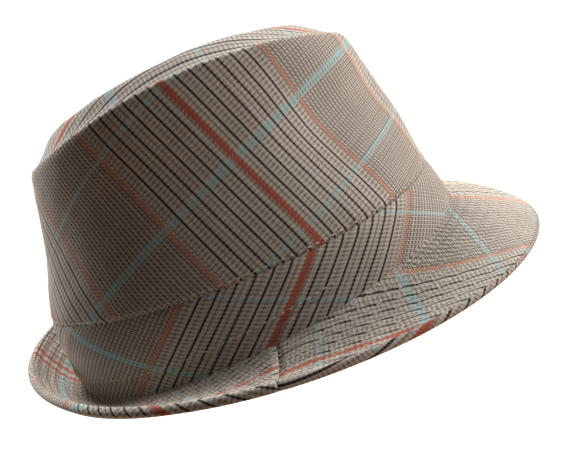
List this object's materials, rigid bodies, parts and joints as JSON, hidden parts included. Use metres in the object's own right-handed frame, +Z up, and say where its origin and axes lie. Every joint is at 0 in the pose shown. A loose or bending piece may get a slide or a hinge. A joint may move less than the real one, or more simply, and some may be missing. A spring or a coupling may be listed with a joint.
{
  "type": "fedora hat",
  "caption": "Narrow-brimmed cloth fedora with a dented crown, a sewn-in band, a brim turned up at the back and down in front, a lining and a sweatband.",
  "frame": {"origin": "middle of the oval head opening, at the height where crown and brim are sewn together", "axes": "+Z up through the crown, -Y towards the front of the hat, -X towards the wearer's right"},
  "size_m": [0.2594, 0.2576, 0.1437],
  "materials": {
    "check_cloth": "woven wool check, matt",
    "canvas": "stiff woven canvas, matt",
    "lining": "smooth satin",
    "sweatband": "smooth, satin"
  },
  "bodies": {
    "root": {"crown_side_right": "check_cloth", "crown_side_left": "check_cloth", "crown_side_canvas_right": "canvas", "crown_side_canvas_left": "canvas", "crown_tip": "check_cloth", "crown_tip_canvas": "canvas", "lining_tip": "lining", "lining_side": "lining", "hat_band": "check_cloth", "sweatband": "sweatband", "brim_top_front": "check_cloth", "brim_top_back": "check_cloth", "brim_under_front": "check_cloth", "brim_under_back": "check_cloth", "brim_canvas": "canvas"}
  },
  "joints": []
}
